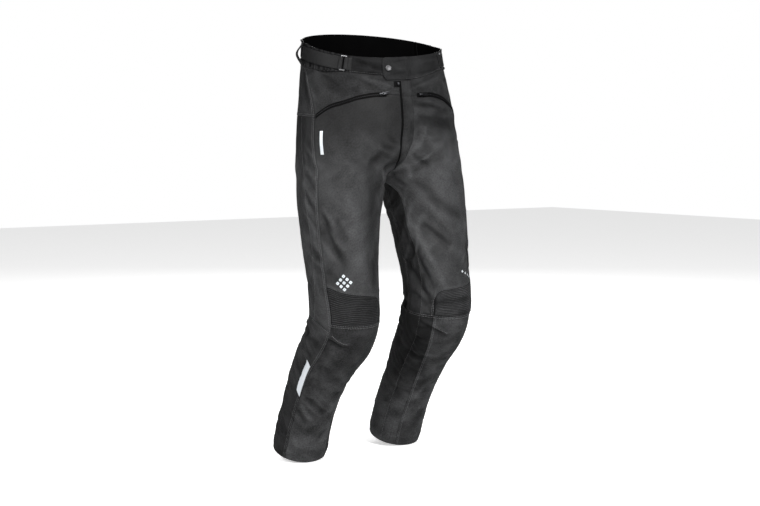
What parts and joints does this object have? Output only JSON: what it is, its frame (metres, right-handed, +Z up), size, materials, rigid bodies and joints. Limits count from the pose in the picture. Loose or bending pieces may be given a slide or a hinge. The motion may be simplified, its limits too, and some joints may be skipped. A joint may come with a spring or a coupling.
{
  "type": "trousers",
  "caption": "Black textile motorcycle trousers in worn form, ribbed stretch knees, elastic side waist with strap adjusters, zip pockets and short reflective strips",
  "frame": {"origin": "middle of the waist rim, level with the side seams, where the trousers sit on a waist", "axes": "+X towards the wearer's left, +Y towards the back, +Z up, against the fall of the legs"},
  "size_m": [0.451, 0.348, 1.0595],
  "materials": {
    "leg_cloth": "dull twill weave with a slight sheen, near black",
    "stretch_cloth": "dull elastic weave, black",
    "calf_cloth": "dull plain weave, near black",
    "band_cloth": "dull plain weave, black",
    "webbing": "close ribbed webbing, black",
    "zip_tape": "close herringbone tape, black",
    "reflective_tape": "smooth retroreflective silver",
    "steel": "satin",
    "dark_steel": "satin, darkened"
  },
  "bodies": {
    "trousers": {"band_side_R": "band_cloth", "adjuster_strap_R": "webbing", "strap_anchor_R": "webbing", "adjuster_ring_R": "steel", "belt_loop_R": "band_cloth", "front_yoke_R": "leg_cloth", "back_yoke_R": "leg_cloth", "thigh_front_R": "leg_cloth", "back_thigh_R": "leg_cloth", "side_panel_R": "leg_cloth", "inner_thigh_R": "leg_cloth", "knee_rib_R": "stretch_cloth", "shin_front_R": "leg_cloth", "calf_inner_R": "calf_cloth", "calf_back_R": "calf_cloth", "reflective_strip_R": "reflective_tape", "pocket_zip_R": "zip_tape", "pocket_slider_R": "dark_steel", "band_side_L": "band_cloth", "adjuster_strap_L": "webbing", "strap_anchor_L": "webbing", "adjuster_ring_L": "steel", "belt_loop_L": "band_cloth", "front_yoke_L": "leg_cloth", "back_yoke_L": "leg_cloth", "thigh_front_L": "leg_cloth", "back_thigh_L": "leg_cloth", "side_panel_L": "leg_cloth", "inner_thigh_L": "leg_cloth", "knee_rib_L": "stretch_cloth", "shin_front_L": "leg_cloth", "calf_inner_L": "calf_cloth", "calf_back_L": "calf_cloth", "reflective_strip_L": "reflective_tape", "pocket_zip_L": "zip_tape", "pocket_slider_L": "dark_steel", "band_front_R": "band_cloth", "band_front_L": "band_cloth", "band_back": "band_cloth", "snap": "steel", "fly_flap": "leg_cloth", "fly_zip": "zip_tape", "fly_slider": "steel"},
    "pull_R": {"pocket_pull_R": "dark_steel"},
    "pull_L": {"pocket_pull_L": "dark_steel"}
  },
  "joints": [
    {"name": "zip_pull_R", "type": "hinge", "parent": "trousers", "child": "pull_R", "pos_m": [-0.07027, -0.14551, -0.12465], "axis": [0.2036, -0.2553, -0.9452], "range_deg": [0, 150]},
    {"name": "zip_pull_L", "type": "hinge", "parent": "trousers", "child": "pull_L", "pos_m": [0.04065, -0.15105, -0.12283], "axis": [0.0199, -0.1827, -0.983], "range_deg": [0, 150]}
  ]
}
